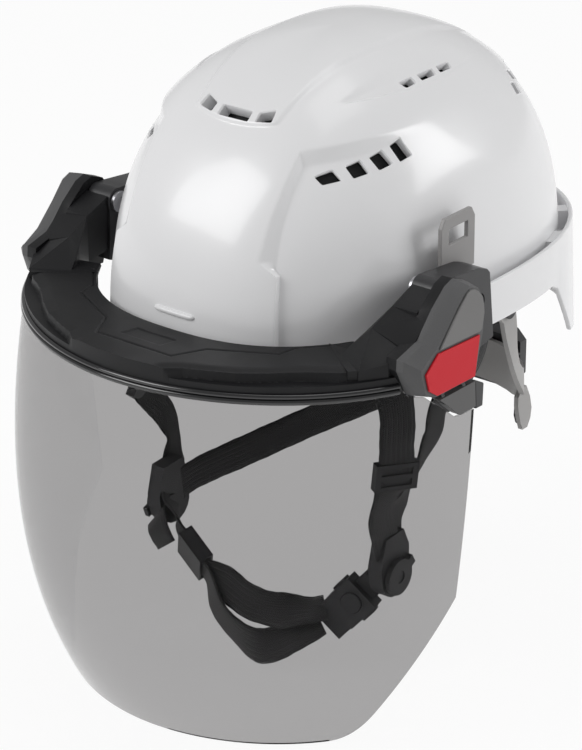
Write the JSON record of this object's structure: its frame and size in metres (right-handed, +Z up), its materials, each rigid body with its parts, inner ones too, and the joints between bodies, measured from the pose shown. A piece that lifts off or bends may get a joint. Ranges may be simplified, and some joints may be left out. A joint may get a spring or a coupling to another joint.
{
  "type": "arborist helmet",
  "caption": "Vented climbing-style safety helmet with a tilting tinted face shield on side pods, a foam liner, a chin strap with a side buckle and a nape ratchet.",
  "frame": {"origin": "in the shell's mirror plane at the level of the shell's side rim, below the crown", "axes": "+X is the wearer's left, -Y is the face side, +Z is up"},
  "size_m": [0.2754, 0.3569, 0.3488],
  "materials": {
    "shell_white": "moulded, smooth gloss",
    "foam": "expanded foam",
    "liner_plastic": "moulded nylon",
    "pad_fabric": "knitted padding",
    "webbing": "woven polyester",
    "clip_grey": "moulded satin",
    "frame_black": "moulded satin",
    "screw_steel": "dark plated",
    "seal_gloss": "glossy",
    "shield_tint": "clear with a grey tint",
    "pod_black": "fine speckled texture",
    "insert_grey": "satin",
    "badge_red": "smooth",
    "latch_grey": "moulded satin",
    "rack_plastic": "moulded nylon",
    "buckle_black": "moulded satin"
  },
  "bodies": {
    "helmet": {"shell": "shell_white", "foam_liner": "foam", "headband": "liner_plastic", "brow_pad": "pad_fabric", "crown_straps": "webbing", "strap_anchors": "liner_plastic", "clip_left": "clip_grey", "clip_right": "clip_grey", "mount_block_left": "frame_black", "mount_block_right": "frame_black", "block_screws": "screw_steel", "pivot_bolts": "screw_steel", "nape_pins": "liner_plastic", "nape_cradle": "latch_grey", "nape_pads": "pad_fabric", "ratchet_housing": "frame_black", "front_strap_left": "webbing", "front_strap_right": "webbing", "rear_strap_left": "webbing", "rear_strap_right": "webbing", "adjuster_left": "buckle_black", "adjuster_right": "buckle_black", "yoke_left": "buckle_black", "yoke_right": "buckle_black", "buckle_body": "buckle_black", "buckle_tongue": "buckle_black", "chin_strap": "webbing", "chin_return": "webbing", "strap_tab": "webbing"},
    "visor": {"brow_guard": "frame_black", "lens_seal": "seal_gloss", "face_shield": "shield_tint", "pod_cover_left": "pod_black", "pod_cover_right": "pod_black", "pod_insert_left": "insert_grey", "pod_insert_right": "insert_grey", "badge_left": "badge_red", "badge_right": "badge_red", "friction_washers": "screw_steel"},
    "release_left": {"latch_left": "latch_grey", "latch_cap_left": "frame_black"},
    "release_right": {"latch_right": "latch_grey", "latch_cap_right": "frame_black"},
    "knob": {"ratchet_knob": "frame_black"},
    "rack_l": {"rack_left": "rack_plastic"},
    "rack_r": {"rack_right": "rack_plastic"},
    "cam_l": {"cam_lever_left": "buckle_black"},
    "cam_r": {"cam_lever_right": "buckle_black"},
    "button": {"release_button": "buckle_black"},
    "keeper": {"keeper_sleeve": "buckle_black"}
  },
  "joints": [
    {"name": "visor_tilt", "type": "hinge", "parent": "helmet", "child": "visor", "pos_m": [0, -0.062, 0.037], "axis": [-1, 0, 0], "range_deg": [0, 80]},
    {"name": "release_left", "type": "hinge", "parent": "visor", "child": "release_left", "pos_m": [0.1334, -0.075, -0.009], "axis": [0, -1, 0], "range_deg": [0, 18], "stiffness_Nm_per_rad": 0.06, "springref_deg": -6.88},
    {"name": "release_right", "type": "hinge", "parent": "visor", "child": "release_right", "pos_m": [-0.1334, -0.075, -0.009], "axis": [0, 1, 0], "range_deg": [0, 18], "stiffness_Nm_per_rad": 0.06, "springref_deg": -6.88},
    {"name": "ratchet_turn", "type": "hinge", "parent": "helmet", "child": "knob", "pos_m": [0, 0.118, -0.0815], "axis": [0, 1, 0], "range_deg": [-100, 100]},
    {"name": "rack_left_slide", "type": "slide", "parent": "helmet", "child": "rack_l", "axis": [1, 0, 0], "range_m": [-0.0106, 0.0106]},
    {"name": "rack_right_slide", "type": "slide", "parent": "helmet", "child": "rack_r", "axis": [-1, 0, 0], "range_m": [-0.0106, 0.0106]},
    {"name": "cam_left", "type": "hinge", "parent": "helmet", "child": "cam_l", "pos_m": [0.078, -0.043, -0.147], "axis": [1, 0, 0], "range_deg": [0, 60]},
    {"name": "cam_right", "type": "hinge", "parent": "helmet", "child": "cam_r", "pos_m": [-0.081, -0.057, -0.142], "axis": [1, 0, 0], "range_deg": [0, 60]},
    {"name": "button_press", "type": "slide", "parent": "helmet", "child": "button", "axis": [-0.3137, 0.9441, -0.1015], "range_m": [0, 0.0025], "stiffness_N_per_m": 400, "springref_m": -0.001},
    {"name": "keeper_slide", "type": "slide", "parent": "helmet", "child": "keeper", "axis": [-0.8428, 0.15, 0.5169], "range_m": [0, 0.004]}
  ],
  "couplings": [
    {"joint": "rack_left_slide", "follows": "ratchet_turn", "m_per_rad": 0.006},
    {"joint": "rack_right_slide", "follows": "ratchet_turn", "m_per_rad": 0.006}
  ]
}
